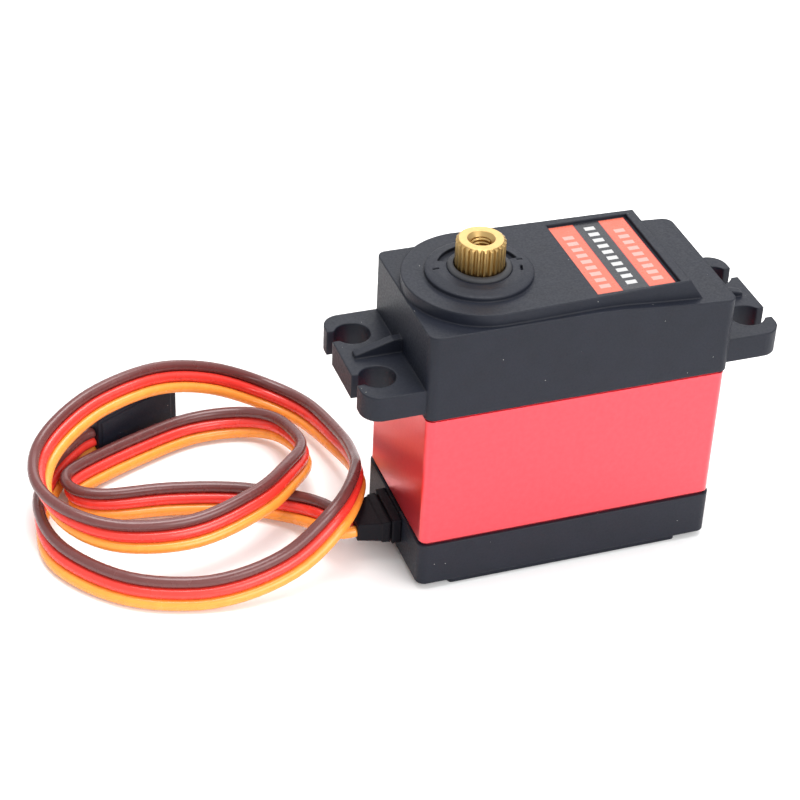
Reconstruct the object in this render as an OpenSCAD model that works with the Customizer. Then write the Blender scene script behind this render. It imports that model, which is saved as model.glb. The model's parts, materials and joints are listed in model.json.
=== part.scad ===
/* [Case] */
// Length of the case without its flange ears
case_l = 40.5; // [40.3:0.1:41]
// Width of the case
case_w = 20.5; // [20.3:0.1:20.8]
// Radius of the case's upright corners
corner_r = 1.2; // [0.8:0.1:1.5]
// Height of the bottom cover's top edge
base_top = 7; // [6.8:0.1:7.4]
// Height of the aluminium middle case
middle_h = 19.6; // [19.3:0.1:20]
// Height of the upper case, from its lower edge to its rim
upper_h = 12; // [11.8:0.1:12.2]
// How far the rim falls towards the motor end
rim_drop = 1.5; // [0.8:0.1:1.6]
// How far the raised deck stands above the rim
deck_rise = 1.6; // [1.2:0.1:1.8]

/* [Mounting flange] */
// Length over both ears
flange_l = 55.7; // [55:0.1:56.5]
// Width of the ears
flange_w = 18.9; // [18:0.1:20]
// Thickness of the ears
flange_t = 3.4; // [2.8:0.1:3.8]
// Height of the ears above the lower edge of the upper case
flange_lift = 0.7; // [0.3:0.1:1]
// Distance between the holes along the case
hole_pitch_x = 49.8; // [49:0.1:50.2]
// Distance between the holes across the case
hole_pitch_y = 9.8; // [9.5:0.1:10.5]
// Radius of the mounting holes
hole_r = 2.3; // [1.8:0.1:2.4]
// Width of the slot that opens each hole to the end
neck_w = 2.2; // [1.2:0.1:2.4]

/* [Output] */
// Number of teeth on the output spline
spline_teeth = 25; // [23:1:25]
// Outer radius of the output spline
spline_r = 3.1; // [2.9:0.05:3.1]
// How far the spline stands above the raised deck
spline_h = 4.9; // [4:0.1:6]
// Radius of the hole for the horn screw
horn_screw_r = 1.25; // [1:0.05:1.3]

/* [Cable] */
// Diameter of one insulated wire
wire_d = 1.5; // [1.2:0.1:1.5]

/* [Hidden] */

$fn = 48;
eps = 0.01;

// Heights of the main faces
middle_top = base_top + middle_h;
rim_top = middle_top + upper_h;
rim_low = rim_top - rim_drop;
deck_top = rim_top + deck_rise;
spline_top = deck_top + spline_h;
flange_bottom = middle_top + flange_lift;
flange_top = flange_bottom + flange_t;
deck_r = case_w / 2 - 0.6;
deck_end = 16.1;
foot_h = 0.9;
floor_top = 1.6;
seam = 0.4;
plate_bottom = middle_top - 1.5;
ceiling = middle_top + 8.8;

// Gear teeth: number on the wheel, number on its pinion and module, from motor to output
stage_1 = [60, 10, 0.25];
stage_2 = [56, 12, 0.3];
stage_3 = [35, 16, 0.4];
stage_4 = [39, 12, 0.4];
pressure_angle = 20;
addendum = 0.85;
dedendum = 1.2;
flank_gap = 0.05;

// Axes: wheels 1 and 3 turn on the pin, wheel 2 and the output on one axis
function spacing(stage) = (stage[0] + stage[1]) / 2 * stage[2];
pin_x = -0.25;
output_x = pin_x - spacing(stage_2);
motor_x = pin_x + spacing(stage_1);

// Gear layers, each from its lower face to its upper face, above the middle case
layer_1 = [middle_top + 0.5, middle_top + 1.6];
layer_2 = [middle_top + 1.9, middle_top + 3];
layer_3 = [middle_top + 3.4, middle_top + 4.6];
layer_4 = [middle_top + 5.1, middle_top + 7.9];
pin_r = 0.75;
post_r = 2;
post_tip_r = 1.58;

// Ball bearings: inner radius, outer radius, height, ball radius, number of balls
upper_bearing = [3.15, 5, 3, 0.65, 15];
lower_bearing = [1.6, 3, 2, 0.4, 15];
upper_bearing_z = middle_top + 8.2;
ring_bottom = upper_bearing_z + upper_bearing[2] + 0.1;
lower_bearing_z = layer_4[0];

// Case screws
screw_x = 17.6;
screw_y = 7.5;
screw_r = 0.95;
head_r = 1.75;
head_top = 1.7;

// Motor
motor_r = 7.9;
motor_wall = 0.6;
motor_top = plate_bottom - 0.05;
motor_bottom = base_top + 0.6;
motor_shaft_r = 0.5;
brush_z = motor_bottom + 2.8;
core_z = [motor_bottom + 5.1, motor_top - 3.4];

// Feedback potentiometer, on the output axis under the plate
pot_r = 5.2;
pot_top = plate_bottom - 0.05;
pot_floor = pot_top - 5.5;
pot_shaft_r = 1;
flat_x = 0.6;

// Circuit board
board_z = 2.6;
board_t = 0.8;
board_top = board_z + board_t;

// Strain relief and cable: the ribbon of three wires leaves flat and then stands on edge
relief_x = -25.8;
exit_z = 4.3;
ribbon_w = 3 * wire_d;
ribbon_t = wire_d;
ribbon_low = ribbon_w / 2 + 0.02;
plug_pos = [-53.6, 27.7, 3.8];
plug_turn = 28;
plug_l = 14;
plug_h = 7.6;
plug_t = 2.6;

// Route of the middle wire: x, y, z and the lean of the ribbon to the left of its path
route = [
    [-25.8, 0, 4.3, -90], [-27.6, 0.5, 4.3, -80], [-29.1, 3.8, 3.8, -50], [-31.8, 8, 2.6, -25],
    [-38.2, 12, 2.3, -25], [-46.5, 14.3, 2.3, -25], [-54.5, 15.4, 2.3, -15], [-58, 17.5, 2.3, 0],
    [-58.5, 20.5, 2.3, 20], [-56, 22.7, 2.3, 30], [-48, 26.2, 2.3, 30], [-40, 28.7, 2.3, 25],
    [-33, 28.1, 2.5, 15], [-29, 25, 3.2, 0], [-27.5, 19.6, 4.3, -10], [-28, 14.2, 5.7, -15],
    [-31.4, 9, 7.2, -20], [-36.8, 4.8, 7, -25], [-46, 1.9, 6.4, -25], [-55, 3.5, 6.2, -15],
    [-60.8, 7.7, 6.8, 5], [-63.2, 13.9, 7.3, 25], [-62, 20, 7.9, 35], [-58.2, 24.3, 9.2, 35],
    [-52.2, 27.9, 10.3, 30], [-44, 30.6, 10.3, 30], [-36, 32.8, 7.4, 30], [-28.8, 32.2, 4, 25],
    [-24, 27, 3.2, 20], [-22.1, 17.5, 4.4, 5], [-22.4, 9.8, 6.6, -10], [-24.2, 3.2, 8.6, -15],
    [-28.5, -2.6, 8.2, -20], [-36, -5.4, 4.3, -20], [-46, -5.7, 2.4, -20], [-56, -2, 2.3, -20],
    [-62.8, 6.3, 2.3, -20], [-63.6, 15, 2.3, 5], [-60.4, 22.5, 2.4, 20], [-56.1, 26.4, 3.6, 5],
    [-53.6, 27.7, 3.8, 0]];

// ---- shared shapes ----

module rounded_plan(l, w, r) {
    square([l - 2 * r, w], center = true);
    square([l, w - 2 * r], center = true);
    for (sx = [-1, 1], sy = [-1, 1])
        translate([sx * (l / 2 - r), sy * (w / 2 - r)])
            circle(r);
}

module rounded_block(l, w, r, z0, z1) {
    translate([0, 0, z0])
        linear_extrude(height = z1 - z0)
            rounded_plan(l, w, r);
}

module rod(r, z0, z1) {
    translate([0, 0, z0])
        cylinder(r = r, h = z1 - z0);
}

module tube(outer, inner, z0, z1) {
    difference() {
        rod(outer, z0, z1);
        rod(inner, z0 - 1, z1 + 1);
    }
}

module box(x, y, z) {
    translate([x[0], y[0], z[0]])
        cube([x[1] - x[0], y[1] - y[0], z[1] - z[0]]);
}

module at_screws() {
    for (sx = [-1, 1], sy = [-1, 1])
        translate([sx * screw_x, sy * screw_y, 0])
            children();
}

module at_pin() {
    translate([pin_x, 0, 0])
        children();
}

module at_motor() {
    translate([motor_x, 0, 0])
        children();
}

module at_output() {
    translate([output_x, 0, 0])
        children();
}

// ---- gear teeth ----

function involute(pitch_r, r) =
    let (base_r = pitch_r * cos(pressure_angle))
    r <= base_r ? 0 : let (a = acos(base_r / r)) tan(a) * 180 / PI - a;

// Half the angle that a tooth takes up at radius r
function half_tooth(n, pitch_r, r) =
    90 / n - flank_gap / pitch_r * 180 / PI + involute(pitch_r, pitch_r) - involute(pitch_r, r);

function tooth_radii(n, module_mm) =
    let (pitch_r = n * module_mm / 2)
    let (root = pitch_r - dedendum * module_mm)
    let (start = max(root, pitch_r * cos(pressure_angle)))
    let (tip = pitch_r + addendum * module_mm)
    [root, start, (start + tip) / 2, tip];

function polar(r, a) = [r * cos(a), r * sin(a)];

module teeth(n, module_mm, turn) {
    pitch_r = n * module_mm / 2;
    radii = tooth_radii(n, module_mm);
    first = radii[1] - radii[0] < eps ? 1 : 0;
    polygon([for (i = [0:n - 1], side = [-1, 1], k = [first:3])
        let (r = side < 0 ? radii[k] : radii[3 + first - k])
        polar(r, turn + i * 360 / n + side * half_tooth(n, pitch_r, r))]);
}

module gear(n, module_mm, turn, z0, z1) {
    translate([0, 0, z0])
        linear_extrude(height = z1 - z0)
            teeth(n, module_mm, turn);
}

// ---- case ----

module flange_plan() {
    difference() {
        rounded_plan(flange_l, flange_w, 2.4);
        for (sx = [-1, 1], sy = [-1, 1])
            translate([sx * hole_pitch_x / 2, sy * hole_pitch_y / 2]) {
                circle(hole_r);
                translate([sx * flange_l / 4, 0])
                    square([flange_l / 2, neck_w], center = true);
            }
    }
}

// Wedge between the two holes of an ear, falling away from the case
module flange_rib() {
    translate([0, 0.6, flange_top - eps])
        rotate([90, 0, 0])
            linear_extrude(height = 1.2)
                polygon([[case_l / 2 - 1, 0], [case_l / 2 + 6.1, 0], [case_l / 2 + 6.1, 0.5],
                    [case_l / 2 + 1.2, 1.9], [case_l / 2 - 1, 1.9]]);
}

// Side view of the shell: the rim runs level, then falls towards the motor end
module shell_side() {
    half = case_l / 2 + 1;
    rotate([90, 0, 0])
        linear_extrude(height = case_w + 2, center = true)
            polygon([[-half, middle_top], [half, middle_top], [half, rim_low], [15, rim_low + 0.4],
                [11, rim_low + 0.75], [5, rim_top - 0.15], [2, rim_top], [-half, rim_top]]);
}

// Plan of the raised deck: a round end about the output and straight sides
module deck_plan() {
    translate([output_x, 0])
        circle(deck_r);
    translate([output_x, -deck_r])
        square([deck_end - output_x, 2 * deck_r]);
}

module raised_deck() {
    difference() {
        translate([0, 0, ceiling])
            linear_extrude(height = deck_top - ceiling)
                deck_plan();
        // bevelled end
        translate([deck_end, 0, rim_low])
            rotate([0, -34, 0])
                translate([0, -case_w / 2, -1])
                    cube([5, case_w, 8]);
        // bevelled sides, opening towards the motor end
        for (side = [-1, 1])
            translate([output_x, side * (deck_r + 0.2), rim_low])
                rotate([side * 4, 0, -side * 1.8])
                    translate([0, side > 0 ? 0 : -5, 0])
                        cube([30, 5, 8]);
    }
}

// Raised disc about the output, with a recess around its back half
module output_disc() {
    at_output()
        difference() {
            rotate_extrude()
                polygon([[3, deck_top - 0.5], [6.75, deck_top - 0.5], [6.75, deck_top + 0.5],
                    [6.4, deck_top + 0.62], [5.3, deck_top + 0.85], [3, deck_top + 0.95]]);
            rotate([0, 0, 8])
                rotate_extrude(angle = 142)
                    translate([3.5, deck_top + 0.35])
                        square([1.75, 2]);
            for (notch = [[169, 0.8, 0.3], [4, 0.8, 0.3], [-18, 0.3, 1.2]])
                rotate([0, 0, notch[0]])
                    translate([5, -notch[2] / 2, deck_top + 0.4])
                        cube([notch[1], notch[2], 2]);
        }
}

module upper_cavity() {
    difference() {
        rounded_block(case_l - 2.2, case_w - 2.1, 0.8, middle_top - 1, ceiling);
        at_screws()
            rod(1.5, middle_top - 2, ceiling + 1);
    }
}

module upper_case() color("#26282c")
    difference() {
        union() {
            intersection() {
                rounded_block(case_l, case_w, corner_r, middle_top, rim_top);
                shell_side();
            }
            raised_deck();
            output_disc();
            translate([0, 0, flange_bottom])
                linear_extrude(height = flange_t)
                    flange_plan();
            for (side = [0, 1])
                mirror([side, 0, 0])
                    flange_rib();
        }
        upper_cavity();
        at_screws()
            rod(screw_r + 0.02, middle_top - 1, middle_top + 6);
        at_output()
            rod(upper_bearing[1] + 0.02, ceiling - 1, upper_bearing_z + upper_bearing[2] + 0.05);
        at_output()
            rod(4, ceiling - 1, deck_top + 5);
        at_pin()
            rod(pin_r + 0.01, ceiling - 1, ceiling + 1.1);
        box([1.7, 12.75], [-8.6, 8.15], [deck_top - 0.5, deck_top + 1]);
    }

module top_label() color("#e8583f")
    box([1.8, 12.3], [-8.5, 7.9], [deck_top - 0.5, deck_top - 0.35]);

module middle_cavity() {
    difference() {
        rounded_block(case_l - 3, case_w - 3, 0.8, base_top - 1, plate_bottom);
        at_screws()
            rod(1.7, base_top - 2, plate_bottom + 1);
    }
}

module middle_case() color("#c9202f")
    difference() {
        union() {
            rounded_block(case_l - 0.4, case_w - 0.4, corner_r - 0.2, base_top + seam, middle_top - seam);
            rounded_block(case_l - 1, case_w - 1, corner_r - 0.4, base_top, middle_top);
            at_output() {
                rod(2.2, middle_top - 1, layer_2[0] - 0.05);
                rod(post_r, middle_top - 1, layer_4[0] - 0.05);
                rod(post_tip_r, middle_top - 1, layer_4[0] + lower_bearing[2]);
            }
        }
        middle_cavity();
        at_screws()
            rod(screw_r + 0.1, base_top - 1, middle_top + 1);
        at_output() {
            rod(pot_shaft_r + 0.05, plate_bottom - 1, spline_top);
            rod(2.9, plate_bottom - 1, plate_bottom + 0.8);
        }
        at_pin()
            rod(pin_r + 0.01, middle_top - 1.2, middle_top + 1);
        at_motor() {
            rod(2, plate_bottom - 1, middle_top + 1);
            for (side = [-1, 1])
                rotate([0, 0, side * 60])
                    translate([5, 0, 0]) {
                        rod(0.85, plate_bottom - 1, middle_top + 1);
                        rod(1.4, middle_top - 0.6, middle_top + 1);
                    }
        }
    }

module bottom_cover() color("#26282c")
    difference() {
        union() {
            rounded_block(case_l, case_w, corner_r, foot_h, base_top);
            translate([0.1, 0, 0])
                rounded_block(32, case_w - 0.8, 0.6, 0, foot_h + 0.1);
        }
        difference() {
            rounded_block(case_l - 2.6, case_w - 2.6, 0.8, floor_top, base_top + 1);
            at_screws()
                rod(2.2, 0, base_top + 2);
            for (sx = [-1, 1], sy = [-1, 1])
                translate([sx * 12, sy * 7.4, 0])
                    rod(0.8, 0, board_z);
        }
        at_screws() {
            rod(screw_r + 0.1, -1, base_top + 1);
            rod(head_r + 0.15, -1, head_top);
        }
        box([-case_l / 2 - 1, -case_l / 2 + 2], [-2.4, 2.4], [3, base_top + 1]);
    }

module case_screws() color("#8d9196")
    at_screws()
        difference() {
            union() {
                rod(screw_r, head_top - 0.1, middle_top + 5.5);
                rod(head_r, head_top - 1.2, head_top);
            }
            for (a = [0, 90])
                rotate([0, 0, a])
                    translate([0, 0, head_top - 1.2])
                        cube([2.2, 0.5, 1.2], center = true);
        }

module output_ring() color("#2e3034")
    at_output()
        rotate_extrude()
            polygon([[3.25, ring_bottom], [3.97, ring_bottom], [3.97, deck_top + 1.05],
                [3.75, deck_top + 1.25], [3.25, deck_top + 1.35]]);

// ---- gear train ----

module spline_plan() {
    depth = 0.32;
    polygon([for (i = [0:spline_teeth - 1], k = [0:3])
        let (r = k == 0 || k == 3 ? spline_r - depth : spline_r)
        polar(r, (i + [-0.36, -0.14, 0.14, 0.36][k]) * 360 / spline_teeth)]);
}

module output_spline() {
    z0 = upper_bearing_z + upper_bearing[2] + 0.8;
    intersection() {
        translate([0, 0, z0])
            linear_extrude(height = spline_top - z0)
                spline_plan();
        rotate_extrude()
            polygon([[0, z0 - 1], [spline_r + 0.1, z0 - 1], [spline_r + 0.1, spline_top - 0.35],
                [spline_r - 0.35, spline_top], [0, spline_top]]);
    }
}

// Round hole with one flat, which turns the shaft of the potentiometer
module keyed_plan(r, flat) {
    difference() {
        circle(r);
        translate([flat, -2])
            square([4, 4]);
    }
}

module output_gear() color("#c9a24a")
    at_output()
        difference() {
            union() {
                gear(stage_4[0], stage_4[2], 180 / stage_4[0], layer_4[0], layer_4[1]);
                rod(3.6, layer_4[1] - 1, upper_bearing_z - 0.05);
                rod(upper_bearing[0] - 0.02, layer_4[1] - 1, upper_bearing_z + upper_bearing[2] + 1);
                output_spline();
            }
            rod(lower_bearing[1] + 0.02, layer_4[0] - 1, lower_bearing_z + lower_bearing[2] + 0.05);
            linear_extrude(height = middle_top + 9.8)
                keyed_plan(pot_shaft_r + 0.06, flat_x + 0.06);
            rod(horn_screw_r, spline_top - 6.5, spline_top + 1);
            translate([0, 0, spline_top - 0.5])
                cylinder(r1 = horn_screw_r, r2 = horn_screw_r + 0.6, h = 0.6);
        }

module gear_3() color("#b9bcc0")
    at_pin()
        difference() {
            union() {
                gear(stage_3[0], stage_3[2], 0, layer_3[0], layer_3[1]);
                gear(stage_4[1], stage_4[2], 0, layer_3[1] - eps, layer_4[1] + 0.2);
            }
            rod(pin_r + 0.03, layer_3[0] - 1, layer_4[1] + 2);
        }

module gear_2() color("#c9a24a")
    at_output()
        difference() {
            union() {
                gear(stage_2[0], stage_2[2], 180 / stage_2[0], layer_2[0], layer_2[1]);
                gear(stage_3[1], stage_3[2], 0, layer_2[1] - eps, layer_4[0] - 0.2);
            }
            rod(post_r + 0.04, layer_2[0] - 1, layer_4[1]);
        }

module gear_1() color("#b9bcc0")
    at_pin()
        difference() {
            union() {
                rod(1.6, middle_top + 0.05, layer_1[0] + eps);
                gear(stage_1[0], stage_1[2], 0, layer_1[0], layer_1[1]);
                gear(stage_2[1], stage_2[2], 0, layer_1[1] - eps, layer_3[0] - 0.1);
            }
            rod(pin_r + 0.03, middle_top - 1, layer_3[0] + 1);
        }

module gear_pin() color("#a6abb1")
    at_pin()
        rod(pin_r, middle_top - 1.15, ceiling + 1);

// ---- ball bearings ----

function ball_track(b) = (b[0] + b[1]) / 2;
function ring_edge(b) = (b[1] - b[0]) * 0.32;

module bearing_ring(b, z, r0, r1) {
    track = ball_track(b);
    rotate_extrude()
        difference() {
            translate([r0, z])
                square([r1 - r0, b[2]]);
            translate([track, z + b[2] / 2])
                circle(b[3] + 0.05);
        }
}

module bearing_inner(b, z) {
    bearing_ring(b, z, b[0], b[0] + ring_edge(b));
}

module bearing_outer(b, z) {
    bearing_ring(b, z, b[1] - ring_edge(b), b[1]);
}

module bearing_balls(b, z) {
    for (i = [0:b[4] - 1])
        rotate([0, 0, i * 360 / b[4]])
            translate([ball_track(b), 0, z + b[2] / 2])
                sphere(b[3], $fn = 20);
}

module upper_bearing_outer() color("#9ea3a8")
    at_output()
        bearing_outer(upper_bearing, upper_bearing_z);

module upper_bearing_inner() color("#9ea3a8")
    at_output()
        bearing_inner(upper_bearing, upper_bearing_z);

module upper_bearing_balls() color("#d4d8dc")
    at_output()
        bearing_balls(upper_bearing, upper_bearing_z);

module lower_bearing_outer() color("#9ea3a8")
    at_output()
        bearing_outer(lower_bearing, lower_bearing_z);

module lower_bearing_inner() color("#9ea3a8")
    at_output()
        bearing_inner(lower_bearing, lower_bearing_z);

module lower_bearing_balls() color("#d4d8dc")
    at_output()
        bearing_balls(lower_bearing, lower_bearing_z);

// ---- motor ----

module motor_can() color("#b4b8bd")
    at_motor()
        difference() {
            union() {
                rod(motor_r, motor_bottom, motor_top);
                rod(1.95, motor_top - 1, middle_top - 0.3);
            }
            rod(motor_r - motor_wall, motor_bottom - 1, motor_top - 0.8);
            rod(0.9, motor_top - 2, middle_top);
            for (side = [-1, 1])
                rotate([0, 0, side * 60])
                    translate([5, 0, 0])
                        rod(0.76, motor_top - 2, motor_top + 1);
        }

module motor_end_cap() color("#e9e6da")
    at_motor()
        difference() {
            rod(motor_r - motor_wall - 0.03, motor_bottom, motor_bottom + 1.6);
            rod(1.42, motor_bottom - 1, motor_bottom + 3);
            for (side = [-1, 1])
                translate([0, side * 5.2, motor_bottom])
                    cube([1.7, 0.5, 6], center = true);
        }

module motor_bushings() color("#b98b4e")
    at_motor() {
        tube(0.88, 0.53, motor_top - 0.75, middle_top - 0.35);
        tube(1.4, 0.53, motor_bottom + 0.2, motor_bottom + 1.6);
    }

module motor_magnets() color("#4a4d52")
    at_motor()
        for (a = [25, 205])
            rotate([0, 0, a])
                translate([0, 0, core_z[0] - 1])
                    rotate_extrude(angle = 130)
                        translate([5.9, 0])
                            square([1.38, core_z[1] - core_z[0] + 2]);

module motor_brushes() color("#3a3330")
    at_motor()
        for (side = [0, 180])
            rotate([0, 0, side])
                box([-0.7, 0.7], [1.77, 3.2], [brush_z - 0.4, brush_z + 0.4]);

module motor_terminals() color("#c9a24a")
    at_motor()
        for (side = [0, 180])
            rotate([0, 0, side]) {
                box([-0.8, 0.8], [5, 5.4], [board_top, brush_z + 0.3]);
                box([-0.5, 0.5], [3.2, 5.1], [brush_z - 0.3, brush_z + 0.3]);
            }

module motor_screws() color("#8d9196")
    at_motor()
        for (side = [-1, 1])
            rotate([0, 0, side * 60])
                translate([5, 0, 0])
                    difference() {
                        union() {
                            rod(0.74, motor_top - 0.8, middle_top - 0.4);
                            rod(1.3, middle_top - 0.58, middle_top - 0.05);
                        }
                        translate([0, 0, middle_top - 0.05])
                            cube([1.8, 0.4, 0.5], center = true);
                    }

module motor_shaft() color("#c3c7cb")
    at_motor()
        rod(motor_shaft_r, motor_bottom + 0.3, layer_1[1] + 0.1);

module motor_pinion() color("#c9a24a")
    at_motor()
        difference() {
            gear(stage_1[1], stage_1[2], 180 / stage_1[1], layer_1[0], layer_1[1]);
            rod(motor_shaft_r + 0.01, layer_1[0] - 1, layer_1[1] + 1);
        }

module motor_core() color("#6e7277")
    at_motor()
        difference() {
            rod(5.5, core_z[0], core_z[1]);
            rod(motor_shaft_r + 0.01, core_z[0] - 1, core_z[1] + 1);
            for (i = [0:4])
                rotate([0, 0, i * 72]) {
                    translate([3.6, 0, 0])
                        rod(1.15, core_z[0] - 1, core_z[1] + 1);
                    box([3.6, 7], [-0.3, 0.3], [core_z[0] - 1, core_z[1] + 1]);
                }
        }

module motor_windings() color("#b5622d")
    at_motor()
        for (i = [0:4])
            rotate([0, 0, i * 72])
                translate([3.6, 0, 0])
                    rod(1.12, core_z[0] - 0.8, core_z[1] + 0.8);

module motor_commutator() color("#c47a45")
    at_motor()
        difference() {
            tube(1.7, motor_shaft_r + 0.01, brush_z - 0.9, brush_z + 0.9);
            for (i = [0:4])
                rotate([0, 0, i * 72 + 36])
                    box([1.3, 2], [-0.08, 0.08], [brush_z - 2, brush_z + 2]);
        }

// ---- potentiometer ----

module pot_case() color("#3b6ea5")
    at_output()
        difference() {
            union() {
                rod(pot_r, pot_floor, pot_top);
                rod(2.85, pot_top - 1, pot_top + 0.8);
            }
            rod(pot_r - 0.6, pot_floor - 1, pot_top - 0.8);
            rod(pot_shaft_r + 0.05, pot_floor - 1, pot_top + 2);
        }

module pot_cover() color("#8a5a2b")
    at_output()
        difference() {
            rod(pot_r, pot_floor - 0.6, pot_floor);
            box([-pot_r - 1, -4.8], [-pot_r, pot_r], [pot_floor - 1, pot_floor + 1]);
        }

module pot_track() color("#1d1d1f")
    at_output()
        rotate([0, 0, 200])
            translate([0, 0, pot_floor])
                rotate_extrude(angle = 320)
                    translate([2.6, 0])
                        square([1.8, 0.25]);

module pot_terminals() color("#d7dade")
    at_output()
        for (y = [-2.5, 0, 2.5])
            box([-6.1, -4.8], [y - 0.5, y + 0.5], [pot_floor - 0.45, pot_floor - 0.15]);

module pot_shaft() color("#e3e0d4")
    at_output() {
        rod(pot_shaft_r, pot_floor + 0.3, layer_4[0] + lower_bearing[2]);
        translate([0, 0, layer_4[0] + lower_bearing[2] - 0.1])
            linear_extrude(height = 2.3)
                keyed_plan(pot_shaft_r, flat_x);
        rod(4.4, pot_floor + 0.7, pot_floor + 1.7);
    }

module pot_wiper() color("#c9a24a")
    at_output()
        difference() {
            union() {
                tube(2, pot_shaft_r + 0.01, pot_floor + 0.4, pot_floor + 0.69);
                box([1.8, 4.2], [-0.5, 0.5], [pot_floor + 0.4, pot_floor + 0.69]);
                box([3.2, 4], [-0.3, 0.3], [pot_floor + 0.3, pot_floor + 0.5]);
            }
            rod(pot_shaft_r + 0.01, pot_floor, pot_floor + 1);
        }

module pot_wires() color("#3b6ea5")
    for (y = [-2.5, 0, 2.5])
        translate([output_x - 5.5, y, 0])
            rod(0.4, board_top, pot_floor - 0.45);

// ---- electronics ----

module circuit_board() color("#1f5a37")
    union() {
        box([-15.2, 15.2], [-8.2, 8.2], [board_z, board_top]);
        box([-17.4, 18.2], [-5, 5], [board_z, board_top]);
    }

module control_chip() color("#1b1c1f")
    translate([-6, 0, board_top]) {
        box([-3.5, 3.5], [-3.5, 3.5], [0.15, 1.2]);
        for (a = [0:90:270], i = [-3:3])
            rotate([0, 0, a])
                box([3.45, 4.3], [i * 0.9 - 0.2, i * 0.9 + 0.2], [0, 0.35]);
    }

module driver_chips() color("#1b1c1f")
    for (side = [-1, 1])
        translate([2.5, side * 4.6, board_top]) {
            box([-2.5, 2.5], [-2, 2], [0.15, 1.6]);
            for (sy = [-1, 1], i = [-1.5:1:1.5])
                box([i * 1.27 - 0.2, i * 1.27 + 0.2], [sy * 2.5 - 0.55, sy * 2.5 + 0.55], [0, 0.35]);
        }

module capacitor() color("#c08a2c")
    box([11.5, 16.5], [-4.5, -1.5], [board_top, board_top + 2.6]);

// ---- cable ----

module lead_tails() color("#a83a2a")
    for (y = [-wire_d, 0, wire_d]) {
        translate([-18, y, exit_z])
            rotate([0, 90, 0])
                cylinder(r = wire_d / 2 - 0.15, h = 1.1);
        translate([-16.9, y, board_top])
            cylinder(r = 0.45, h = exit_z - board_top);
    }

// Moulded rubber: a plug in the wall, a collar against it and a tapered block outside
module strain_relief() color("#1c1d20")
    union() {
        box([-18.9, -18], [-3.2, 3.2], [2.45, 6.5]);
        box([-case_l / 2 - 0.1, -18.5], [-2.35, 2.35], [3.05, base_top - 0.02]);
        box([-21.5, -case_l / 2 - 0.02], [-3.5, 3.5], [2.85, 6.5]);
        box([-21.8, -21.3], [-3, 3], [3.2, 6]);
        intersection() {
            translate([0, 0, 2])
                linear_extrude(height = 5)
                    polygon([[-21.7, -3.3], [-21.7, 3.3], [-22.7, 3.2], [-22.9, 3], [relief_x, 2.3],
                        [relief_x, -2.3], [-22.9, -3], [-22.7, -3.2]]);
            rotate([90, 0, 0])
                linear_extrude(height = 8, center = true)
                    polygon([[-21.7, 3], [-21.7, 6.2], [-22.7, 6.1], [-22.9, 6], [relief_x, 5.8],
                        [relief_x, 3.35], [-22.9, 3.2], [-22.7, 3.1]]);
        }
    }

function spline_at(a, b, c, d, t) =
    (2 * b + (c - a) * t + (2 * a - 5 * b + 4 * c - d) * t * t + (3 * b - a - 3 * c + d) * t * t * t) / 2;

function route_at(i, t) =
    let (last = len(route) - 1)
    let (p = spline_at(route[max(i - 1, 0)], route[i], route[min(i + 1, last)], route[min(i + 2, last)], t))
    [p[0], p[1], max(p[2], ribbon_low), p[3]];

rings = [for (k = [0:2 * (len(route) - 1)]) route_at(floor(k / 2), k % 2 / 2)];

function xyz(p) = [p[0], p[1], p[2]];
function unit(v) = v / norm(v);

// The section is a flat octagon: [along the thickness, along the width]
section = [for (s = [[1, 0.62], [0.5, 1], [-0.5, 1], [-1, 0.62], [-1, -0.62], [-0.5, -1], [0.5, -1],
    [1, -0.62]]) [s[0] * ribbon_t / 2, s[1] * ribbon_w / 2]];

function ring_points(k) =
    let (before = xyz(rings[max(k - 1, 0)]))
    let (after = xyz(rings[min(k + 1, len(rings) - 1)]))
    let (along = unit(k == 0 ? [-1, 0, 0] : after - before))
    let (left = unit(cross([0, 0, 1], along)))
    let (up = cross(along, left))
    let (lean = rings[k][3])
    let (wide = cos(lean) * up + sin(lean) * left)
    let (thick = cross(wide, along))
    [for (s = section) xyz(rings[k]) + s[0] * thick + s[1] * wide];

module cable() color("#d8642f") {
    n = len(section);
    last = len(rings) - 1;
    points = [for (k = [0:last]) each ring_points(k)];
    sides = [for (k = [0:last - 1], j = [0:n - 1])
        [k * n + j, k * n + (j + 1) % n, (k + 1) * n + (j + 1) % n, (k + 1) * n + j]];
    split = [for (q = sides) each [[q[0], q[1], q[2]], [q[0], q[2], q[3]]]];
    start = [for (j = [n - 1:-1:0]) j];
    end = [for (j = [0:n - 1]) last * n + j];
    polyhedron(points = points, faces = concat([start, end], split));
}

module at_plug() {
    translate(plug_pos)
        rotate([0, 0, plug_turn])
            children();
}

// Three-way plug lying on its narrow edge, with a socket for each pin
module plug_housing() color("#1c1d20")
    at_plug()
        difference() {
            union() {
                box([0, plug_l], [-plug_t / 2 + 0.15, plug_t / 2], [-plug_h / 2, plug_h / 2]);
                box([0.6, plug_l - 1], [-plug_t / 2, 0], [-plug_h / 2 + 0.5, plug_h / 2 - 0.5]);
            }
            for (z = [-2.54, 0, 2.54]) {
                box([1.5, plug_l + 1], [-0.5, 0.5], [z - 0.5, z + 0.5]);
                box([6.5, 8], [0, plug_t / 2 + 1], [z - 0.5, z + 0.5]);
            }
        }

module plug_contacts() color("#d7b866")
    at_plug()
        for (z = [-2.54, 0, 2.54])
            difference() {
                box([1.6, plug_l - 1], [-0.45, 0.45], [z - 0.45, z + 0.45]);
                box([plug_l - 7, plug_l], [-0.33, 0.33], [z - 0.33, z + 0.33]);
            }

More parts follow.
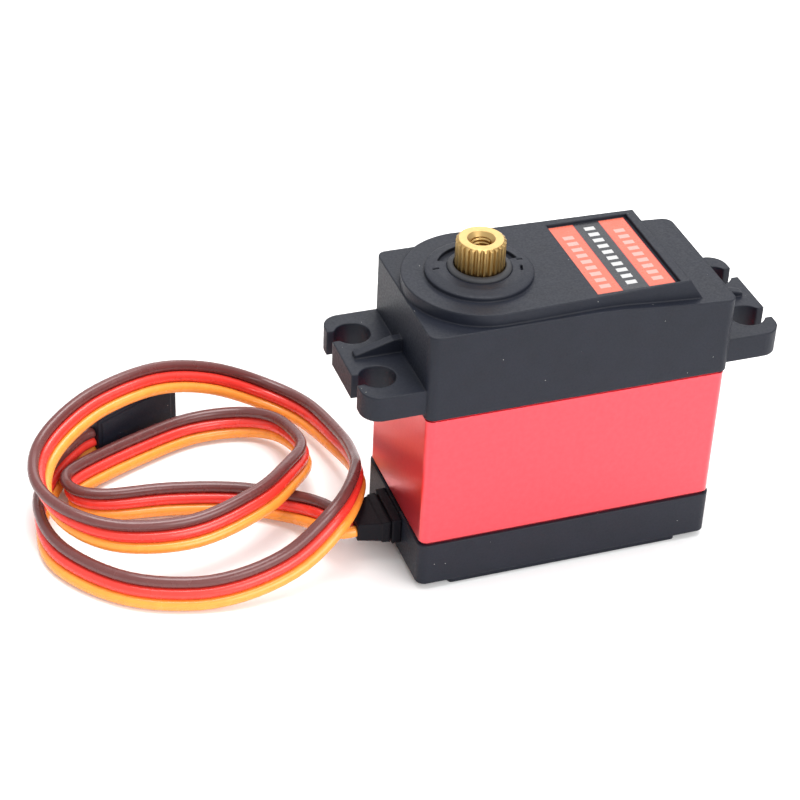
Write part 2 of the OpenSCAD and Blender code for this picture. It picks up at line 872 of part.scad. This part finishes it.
bottom_cover();
middle_case();
upper_case();
case_screws();
top_label();
output_ring();
output_gear();
gear_3();
gear_2();
gear_1();
gear_pin();
upper_bearing_outer();
upper_bearing_inner();
upper_bearing_balls();
lower_bearing_outer();
lower_bearing_inner();
lower_bearing_balls();
motor_pinion();
motor_shaft();
motor_core();
motor_windings();
motor_commutator();
motor_can();
motor_end_cap();
motor_bushings();
motor_magnets();
motor_brushes();
motor_terminals();
motor_screws();
pot_case();
pot_cover();
pot_track();
pot_terminals();
pot_shaft();
pot_wiper();
pot_wires();
circuit_board();
control_chip();
driver_chips();
capacitor();
lead_tails();
strain_relief();
cable();
plug_housing();
plug_contacts();
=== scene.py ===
"""Looks of the hobby servo: materials for the CAD parts, the three-wire lead, lights and camera."""
import json
import math

import bmesh
import bpy
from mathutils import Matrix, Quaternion, Vector


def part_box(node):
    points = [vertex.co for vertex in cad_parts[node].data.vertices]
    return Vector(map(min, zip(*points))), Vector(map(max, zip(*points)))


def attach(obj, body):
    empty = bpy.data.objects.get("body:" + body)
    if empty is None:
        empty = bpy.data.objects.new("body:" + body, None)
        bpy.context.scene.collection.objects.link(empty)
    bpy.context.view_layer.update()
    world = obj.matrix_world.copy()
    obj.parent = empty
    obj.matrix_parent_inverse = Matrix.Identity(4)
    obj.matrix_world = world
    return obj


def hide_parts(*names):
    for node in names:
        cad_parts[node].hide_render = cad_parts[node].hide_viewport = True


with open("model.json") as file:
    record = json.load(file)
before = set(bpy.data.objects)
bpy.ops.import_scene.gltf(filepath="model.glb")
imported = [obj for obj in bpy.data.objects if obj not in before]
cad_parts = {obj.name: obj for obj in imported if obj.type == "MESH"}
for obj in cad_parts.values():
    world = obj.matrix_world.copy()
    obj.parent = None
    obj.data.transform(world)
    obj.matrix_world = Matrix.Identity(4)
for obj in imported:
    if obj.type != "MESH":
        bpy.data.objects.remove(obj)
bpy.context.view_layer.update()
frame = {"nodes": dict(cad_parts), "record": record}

MM = 0.001

# ---- camera ----

EYE = Vector((-0.10180, -0.21596, 0.18675))
TARGET = Vector((-0.02090, -0.00240, 0.02474))
ROLL = math.radians(2.71)
LENS = 101.48
SENSOR = 36


def make_camera():
    data = bpy.data.cameras.new("camera")
    data.lens = LENS
    data.sensor_width = SENSOR
    camera = bpy.data.objects.new("camera", data)
    bpy.context.scene.collection.objects.link(camera)
    aim = (TARGET - EYE).to_track_quat("-Z", "Y")
    camera.rotation_mode = "QUATERNION"
    camera.rotation_quaternion = aim @ Quaternion((0, 0, 1), ROLL)
    camera.location = EYE
    bpy.context.scene.camera = camera


# ---- lead: three wires side by side ----

WIRE = 1.5 * MM

# Route of the middle wire in millimetres, and how far the ribbon leans to the left in degrees
ROUTE = [
    (-25.8, 0, 4.3, -90), (-27.6, 0.5, 4.3, -80), (-29.1, 3.8, 3.8, -50), (-31.8, 8, 2.6, -25),
    (-38.2, 12, 2.3, -25), (-46.5, 14.3, 2.3, -25), (-54.5, 15.4, 2.3, -15), (-58, 17.5, 2.3, 0),
    (-58.5, 20.5, 2.3, 20), (-56, 22.7, 2.3, 30), (-48, 26.2, 2.3, 30), (-40, 28.7, 2.3, 25),
    (-33, 28.1, 2.5, 15), (-29, 25, 3.2, 0), (-27.5, 19.6, 4.3, -10), (-28, 14.2, 5.7, -15),
    (-31.4, 9, 7.2, -20), (-36.8, 4.8, 7, -25), (-46, 1.9, 6.4, -25), (-55, 3.5, 6.2, -15),
    (-60.8, 7.7, 6.8, 5), (-63.2, 13.9, 7.3, 25), (-62, 20, 7.9, 35), (-58.2, 24.3, 9.2, 35),
    (-52.2, 27.9, 10.3, 30), (-44, 30.6, 10.3, 30), (-36, 32.8, 7.4, 30), (-28.8, 32.2, 4, 25),
    (-24, 27, 3.2, 20), (-22.1, 17.5, 4.4, 5), (-22.4, 9.8, 6.6, -10), (-24.2, 3.2, 8.6, -15),
    (-28.5, -2.6, 8.2, -20), (-36, -5.4, 4.3, -20), (-46, -5.7, 2.4, -20), (-56, -2, 2.3, -20),
    (-62.8, 6.3, 2.3, -20), (-63.6, 15, 2.3, 5), (-60.4, 22.5, 2.4, 20), (-56.1, 26.4, 3.6, 5),
    (-53.6, 27.7, 3.8, 0)]
STEPS = 6          # rings to each point of the route
LOWEST = 2.27      # least height of the middle wire in millimetres


def between(a, b, c, d, t):
    """Value at t on the smooth curve from b to c, with a and d as its neighbours."""
    return (2 * b + (c - a) * t + (2 * a - 5 * b + 4 * c - d) * t**2
            + (3 * b - a - 3 * c + d) * t**3) / 2


def route_rings():
    """Places along the lead as (point in metres, lean in radians)."""
    points = [Vector(p) for p in ROUTE]
    last = len(points) - 1
    rings = []
    for k in range(STEPS * last + 1):
        i, t = k // STEPS, k % STEPS / STEPS
        near = [points[min(max(j, 0), last)] for j in (i - 1, i, i + 1, i + 2)]
        p = between(*near, t)
        rings.append((Vector((p[0], p[1], max(p[2], LOWEST))) * MM, math.radians(p[3])))
    return rings


def ribbon_axes(rings, k):
    """Direction across the ribbon towards the brown wire, and the direction through it."""
    before = rings[max(k - 1, 0)][0]
    after = rings[min(k + 1, len(rings) - 1)][0]
    along = Vector((-1, 0, 0)) if k == 0 else (after - before).normalized()
    left = Vector((0, 0, 1)).cross(along).normalized()
    up = along.cross(left)
    lean = rings[k][1]
    across = math.cos(lean) * up + math.sin(lean) * left
    return across, across.cross(along)


def add_wire(mesh, rings, offset, material_index, sides=24):
    """One round wire, `offset` away from the middle of the ribbon."""
    loops = []
    for k, (point, _) in enumerate(rings):
        across, through = ribbon_axes(rings, k)
        loop = []
        for j in range(sides):
            a = 2 * math.pi * j / sides
            spot = offset + WIRE / 2 * math.cos(a)
            loop.append(mesh.verts.new(point + spot * across + WIRE / 2 * math.sin(a) * through))
        loops.append(loop)
    faces = [mesh.faces.new(loops[0][::-1]), mesh.faces.new(loops[-1])]
    for a, b in zip(loops, loops[1:]):
        for j in range(sides):
            faces.append(mesh.faces.new((a[j], a[(j + 1) % sides], b[(j + 1) % sides], b[j])))
    for face in faces:
        face.material_index = material_index
        face.smooth = True


def new_piece(name, mesh, body, materials):
    """Makes a piece from a bmesh, gives it its materials and lets it ride on a body."""
    data = bpy.data.meshes.new(name)
    bmesh.ops.recalc_face_normals(mesh, faces=mesh.faces)
    mesh.to_mesh(data)
    mesh.free()
    for item in materials:
        data.materials.append(item)
    piece = bpy.data.objects.new(name, data)
    bpy.context.scene.collection.objects.link(piece)
    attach(piece, body)
    return piece


def make_lead():
    rings = route_rings()
    mesh = bmesh.new()
    for index, offset in enumerate((WIRE, 0, -WIRE)):
        add_wire(mesh, rings, offset, index)
    colours = [insulation("brown_wire", (0.125, 0.036, 0.034)),
               insulation("red_wire", (0.78, 0.040, 0.028)),
               insulation("orange_wire", (0.88, 0.31, 0.045))]
    lead = new_piece("three_wire_lead", mesh, "case", colours)
    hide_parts("cable")


# ---- material building blocks ----

NOISE_LOW, NOISE_HIGH = 0.3, 0.7           # usual span of a noise
MIX_A, MIX_B, MIX_RESULT = 6, 7, 2         # colour sockets of the Mix node


def start_material(name):
    made = bpy.data.materials.new(name)
    made.use_nodes = True
    tree = made.node_tree
    return made, tree, tree.nodes["Principled BSDF"]


def position(tree):
    return tree.nodes.new("ShaderNodeTexCoord").outputs["Object"]


def noise(tree, scale, detail=3.0, stretch=(1, 1, 1)):
    """Noise in the part's own coordinates, with `scale` in cycles per metre."""
    texture = tree.nodes.new("ShaderNodeTexNoise")
    texture.inputs["Scale"].default_value = scale
    texture.inputs["Detail"].default_value = detail
    mapping = tree.nodes.new("ShaderNodeMapping")
    mapping.inputs["Scale"].default_value = stretch
    tree.links.new(position(tree), mapping.inputs["Vector"])
    tree.links.new(mapping.outputs["Vector"], texture.inputs["Vector"])
    return texture.outputs["Fac"]


def spread(tree, source, low, high):
    """Maps the usual span of a noise to low..high."""
    node = tree.nodes.new("ShaderNodeMapRange")
    node.inputs["From Min"].default_value = NOISE_LOW
    node.inputs["From Max"].default_value = NOISE_HIGH
    node.inputs["To Min"].default_value = low
    node.inputs["To Max"].default_value = high
    tree.links.new(source, node.inputs["Value"])
    return node.outputs["Result"]


def maths(tree, operation, a, b):
    """Maths node whose inputs are outputs of other nodes or plain numbers."""
    node = tree.nodes.new("ShaderNodeMath")
    node.operation = operation
    for socket, value in zip(node.inputs, (a, b)):
        if isinstance(value, (int, float)):
            socket.default_value = value
        else:
            tree.links.new(value, socket)
    return node.outputs[0]


def blend(tree, factor, a, b):
    """Mixes two colours, each a tuple or the output of another node."""
    node = tree.nodes.new("ShaderNodeMix")
    node.data_type = "RGBA"
    tree.links.new(factor, node.inputs["Factor"])
    for socket, value in ((node.inputs[MIX_A], a), (node.inputs[MIX_B], b)):
        if isinstance(value, tuple):
            socket.default_value = (*value, 1)
        else:
            tree.links.new(value, socket)
    return node.outputs[MIX_RESULT]


def shade_of(colour, factor):
    return tuple(min(channel * factor, 1.0) for channel in colour)


def surface(tree, shader, edge, layers):
    """Softens the edges by `edge` and adds bump layers, each (noise scale, depth in metres)."""
    bevel = tree.nodes.new("ShaderNodeBevel")
    bevel.samples = 8
    bevel.inputs["Radius"].default_value = edge
    normal = bevel.outputs["Normal"]
    for scale, depth in layers:
        bump = tree.nodes.new("ShaderNodeBump")
        bump.inputs["Strength"].default_value = 1
        bump.inputs["Distance"].default_value = depth
        tree.links.new(noise(tree, scale), bump.inputs["Height"])
        tree.links.new(normal, bump.inputs["Normal"])
        normal = bump.outputs["Normal"]
    tree.links.new(normal, shader.inputs["Normal"])


def dust(tree, cell, radius, share=0.4):
    """Mask of small specks, one in a `share` of the cells: 1 on a speck and 0 elsewhere."""
    cells = tree.nodes.new("ShaderNodeTexVoronoi")
    cells.inputs["Scale"].default_value = 1 / cell
    tree.links.new(position(tree), cells.inputs["Vector"])
    near = maths(tree, "LESS_THAN", cells.outputs["Distance"], radius / cell)
    channels = tree.nodes.new("ShaderNodeSeparateColor")
    tree.links.new(cells.outputs["Color"], channels.inputs["Color"])
    chosen = maths(tree, "GREATER_THAN", channels.outputs[0], 1 - share)
    return maths(tree, "MULTIPLY", near, chosen)


# ---- materials ----

BLACK = (0.0066, 0.0084, 0.0155)
RUBBER = (0.0044, 0.0040, 0.0066)
SPECK = (0.26, 0.26, 0.25)
SPECK_CELL = 1.5 * MM
SPECK_RADIUS = 0.06 * MM


def insulation(name, colour):
    """Soft PVC with a satin shine and slight waviness."""
    made, tree, shader = start_material(name)
    mottled = noise(tree, 900)
    tint = blend(tree, mottled, shade_of(colour, 0.85), shade_of(colour, 1.12))
    tree.links.new(tint, shader.inputs["Base Color"])
    tree.links.new(spread(tree, noise(tree, 500), 0.22, 0.30), shader.inputs["Roughness"])
    shader.inputs["Specular IOR Level"].default_value = 0.5
    bump = tree.nodes.new("ShaderNodeBump")
    bump.inputs["Distance"].default_value = 0.004 * MM
    tree.links.new(noise(tree, 600), bump.inputs["Height"])
    tree.links.new(bump.outputs["Normal"], shader.inputs["Normal"])
    return made


def moulded(name, colour, rough, grain, shine=0.26):
    """Moulded plastic or rubber with a fine grain, faint mottling and a few specks of dust."""
    made, tree, shader = start_material(name)
    mottled = blend(tree, noise(tree, 350), shade_of(colour, 0.8), shade_of(colour, 1.25))
    specked = blend(tree, dust(tree, SPECK_CELL, SPECK_RADIUS), mottled, SPECK)
    tree.links.new(specked, shader.inputs["Base Color"])
    tree.links.new(spread(tree, noise(tree, 3500), *rough), shader.inputs["Roughness"])
    shader.inputs["Specular IOR Level"].default_value = shine
    surface(tree, shader, 0.35 * MM, [(1500, 0.008 * MM), (7000, grain)])
    return made


def anodised():
    """Bead-blasted aluminium dyed red."""
    made, tree, shader = start_material("red_anodised")
    tint = blend(tree, noise(tree, 1400), (0.76, 0.027, 0.045), (0.88, 0.055, 0.077))
    tree.links.new(tint, shader.inputs["Base Color"])
    shader.inputs["Metallic"].default_value = 0.75
    shader.inputs["Coat Weight"].default_value = 0.8
    shader.inputs["Coat Roughness"].default_value = 0.28
    tree.links.new(spread(tree, noise(tree, 4000), 0.28, 0.38), shader.inputs["Roughness"])
    surface(tree, shader, 0.2 * MM, [(9000, 0.004 * MM)])
    return made


def metal(name, colour, rough):
    """Bare metal with slight marks of its machining."""
    made, tree, shader = start_material(name)
    tint = blend(tree, noise(tree, 1200), shade_of(colour, 0.86), shade_of(colour, 1.08))
    tree.links.new(tint, shader.inputs["Base Color"])
    shader.inputs["Metallic"].default_value = 1
    streaks = noise(tree, 2500, stretch=(1, 1, 6))
    tree.links.new(spread(tree, streaks, *rough), shader.inputs["Roughness"])
    surface(tree, shader, 0.08 * MM, [(1500, 0.003 * MM)])
    return made


def plain(name, colour, rough):
    """Moulded, pressed or lacquered part inside the case."""
    made, tree, shader = start_material(name)
    tint = blend(tree, noise(tree, 800), shade_of(colour, 0.85), shade_of(colour, 1.15))
    tree.links.new(tint, shader.inputs["Base Color"])
    tree.links.new(spread(tree, noise(tree, 3000), *rough), shader.inputs["Roughness"])
    surface(tree, shader, 0.1 * MM, [(5000, 0.004 * MM)])
    return made


def axis_position(tree, axis):
    parts = tree.nodes.new("ShaderNodeSeparateXYZ")
    tree.links.new(position(tree), parts.inputs["Vector"])
    return parts.outputs[axis]


def inside(tree, value, low, high):
    """1 where the value lies between low and high, else 0."""
    above = maths(tree, "GREATER_THAN", value, low)
    below = maths(tree, "LESS_THAN", value, high)
    return maths(tree, "MULTIPLY", above, below)


SALMON = (0.50, 0.095, 0.056), (0.54, 0.110, 0.068)
EDGE_RED = (0.46, 0.045, 0.035)
CHARCOAL = (0.020, 0.021, 0.026)
PINK = (0.46, 0.26, 0.23)
OFF_WHITE = (0.42, 0.42, 0.42)
EDGE_LINE = 0.1 * MM
DASH_PITCH = 1.45 * MM
DASH_SPAN = (0.2, 0.75)
DASH_REACH = 0.7 * MM

# First and last step of the row of dashes on each stripe, and its colour
DASH_ROWS = ((-5, 4, PINK), (-5, 5, OFF_WHITE), (-5, 4, PINK))


def label_film():
    """Printed film: three stripes with fine red edges, each with a row of plain pale dashes."""
    made, tree, shader = start_material("label_film")
    low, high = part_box("top_label")
    x, y = axis_position(tree, "X"), axis_position(tree, "Y")
    third = (high.x - low.x) / 3
    salmon = blend(tree, noise(tree, 600), *SALMON)
    ground = EDGE_RED
    for start in (low.x, low.x + 2 * third):
        stripe = inside(tree, x, start + EDGE_LINE, start + third - EDGE_LINE)
        ground = blend(tree, stripe, ground, salmon)
    middle = inside(tree, x, low.x + third, low.x + 2 * third)
    ground = blend(tree, middle, ground, CHARCOAL)
    steps = maths(tree, "DIVIDE", y, DASH_PITCH)
    dashes = inside(tree, maths(tree, "FRACT", steps, 0), *DASH_SPAN)
    for index, (first, end, pale) in enumerate(DASH_ROWS):
        axis = low.x + (index + 0.5) * third
        across = inside(tree, x, axis - DASH_REACH, axis + DASH_REACH)
        row = maths(tree, "MULTIPLY", across, inside(tree, steps, first, end))
        ground = blend(tree, maths(tree, "MULTIPLY", row, dashes), ground, pale)
    tree.links.new(ground, shader.inputs["Base Color"])
    tree.links.new(spread(tree, noise(tree, 2000), 0.25, 0.4), shader.inputs["Roughness"])
    shader.inputs["Specular IOR Level"].default_value = 0.25
    surface(tree, shader, 0.03 * MM, [(1200, 0.001 * MM)])
    return made


def slot_materials():
    """One material for each material slot of the record."""
    return {
        "black_plastic": moulded("black_plastic", BLACK, (0.42, 0.58), 0.006 * MM),
        "red_aluminium": anodised(),
        "steel": metal("steel", (0.56, 0.57, 0.59), (0.25, 0.4)),
        "bearing_steel": metal("bearing_steel", (0.68, 0.69, 0.71), (0.10, 0.2)),
        "brass": metal("brass", (0.53, 0.355, 0.140), (0.28, 0.38)),
        "label_film": label_film(),
        "dark_seal": moulded("dark_seal", (0.03, 0.031, 0.035), (0.5, 0.65), 0.004 * MM),
        "motor_steel": metal("motor_steel", (0.52, 0.53, 0.55), (0.25, 0.35)),
        "white_nylon": plain("white_nylon", (0.72, 0.70, 0.62), (0.4, 0.55)),
        "sintered_bronze": metal("sintered_bronze", (0.52, 0.33, 0.16), (0.45, 0.6)),
        "magnet": metal("magnet", (0.10, 0.10, 0.11), (0.5, 0.65)),
        "carbon": plain("carbon", (0.03, 0.03, 0.03), (0.6, 0.75)),
        "core_steel": metal("core_steel", (0.27, 0.28, 0.30), (0.4, 0.55)),
        "copper": metal("copper", (0.68, 0.30, 0.14), (0.25, 0.4)),
        "blue_plastic": plain("blue_plastic", (0.05, 0.15, 0.38), (0.35, 0.5)),
        "phenolic": plain("phenolic", (0.28, 0.13, 0.05), (0.5, 0.6)),
        "board": plain("board", (0.02, 0.13, 0.06), (0.25, 0.4)),
        "chip_black": plain("chip_black", (0.016, 0.016, 0.018), (0.5, 0.6)),
        "capacitor_yellow": plain("capacitor_yellow", (0.60, 0.32, 0.04), (0.3, 0.4)),
        "relief_rubber": moulded("relief_rubber", RUBBER, (0.45, 0.6), 0.004 * MM, 0.14),
        "wire_insulation": plain("wire_insulation", (0.55, 0.10, 0.03), (0.3, 0.4)),
    }


def dress_parts():
    """Gives every CAD part the material of its slot."""
    materials = slot_materials()
    for part in frame["record"]["subparts"]:
        data = frame["nodes"][part["node"]].data
        data.materials.clear()
        data.materials.append(materials[part["material_slot"]])
    return materials


# ---- thread in the horn screw's hole ----

THREAD_PITCH = 0.5 * MM
THREAD_SINK = 0.55 * MM
THREAD_OUTER = 1.25 * MM
THREAD_INNER = 1.08 * MM
THREAD_SIDES = 36
THREAD_TURNS = 8

# Section of the ridge as (radius, height above its middle)
RIDGE = ((THREAD_OUTER, 0.22 * MM), (THREAD_INNER, 0.05 * MM),
         (THREAD_INNER, -0.05 * MM), (THREAD_OUTER, -0.22 * MM))


def make_thread(material):
    """Helical ridge inside the spline's hole, with the pitch of an M3 thread."""
    low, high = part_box("output_gear")
    centre_x, centre_y = (low.x + high.x) / 2, (low.y + high.y) / 2
    top = high.z - THREAD_SINK - THREAD_PITCH / 2
    mesh = bmesh.new()
    rows = []
    for k in range(THREAD_SIDES * THREAD_TURNS + 1):
        turn = k / THREAD_SIDES
        a = 2 * math.pi * turn
        row = []
        for radius, rise in RIDGE:
            spot = (centre_x + radius * math.cos(a), centre_y + radius * math.sin(a))
            row.append(mesh.verts.new((*spot, top - THREAD_PITCH * turn + rise)))
        rows.append(row)
    corners = len(RIDGE)
    for a, b in zip(rows, rows[1:]):
        for j in range(corners):
            mesh.faces.new((a[j], a[(j + 1) % corners], b[(j + 1) % corners], b[j]))
    mesh.faces.new(rows[0])
    mesh.faces.new(rows[-1][::-1])
    thread = new_piece("horn_screw_thread", mesh, "output", [material])


# ---- stage and light ----

FLOOR_REACH = 3
FLOOR_DROP = 0.05 * MM


def make_floor():
    mesh = bmesh.new()
    bmesh.ops.create_grid(mesh, x_segments=8, y_segments=8, size=FLOOR_REACH)
    data = bpy.data.meshes.new("floor")
    mesh.to_mesh(data)
    mesh.free()
    floor = bpy.data.objects.new("floor", data)
    floor.location.z = -FLOOR_DROP
    bpy.context.scene.collection.objects.link(floor)
    made, tree, shader = start_material("pale_paper")
    tint = blend(tree, noise(tree, 8), (0.86, 0.86, 0.86), (0.9, 0.9, 0.9))
    tree.links.new(tint, shader.inputs["Base Color"])
    shader.inputs["Roughness"].default_value = 0.9
    shader.inputs["Specular IOR Level"].default_value = 0.1
    data.materials.append(made)


def softbox(name, place, aim, size, power, colour=(1, 1, 1)):
    data = bpy.data.lights.new(name, "AREA")
    data.shape = "RECTANGLE"
    data.size, data.size_y = size
    data.energy = power
    data.color = colour
    light = bpy.data.objects.new(name, data)
    light.location = place
    light.rotation_mode = "QUATERNION"
    light.rotation_quaternion = (Vector(aim) - Vector(place)).to_track_quat("-Z", "Y")
    bpy.context.scene.collection.objects.link(light)


def make_lights():
    softbox("overhead", (0.05, 0.1, 0.9), (0, 0, 0), (0.5, 0.5), 7)
    softbox("front", (0.25, -0.8, 0.5), (0, 0, 0.02), (0.7, 0.6), 7)
    softbox("behind", (0.32, 0.80, 0.62), (0, 0, 0.04), (0.8, 0.5), 2.5)
    world = bpy.data.worlds.new("studio")
    world.use_nodes = True
    sky = world.node_tree.nodes["Background"]
    sky.inputs["Color"].default_value = (1, 1, 1, 1)
    sky.inputs["Strength"].default_value = 0.9
    bpy.context.scene.world = world
    bpy.context.scene.view_settings.view_transform = "Standard"


make_camera()
make_lead()
part_materials = dress_parts()
make_thread(part_materials["brass"])
make_floor()
make_lights()
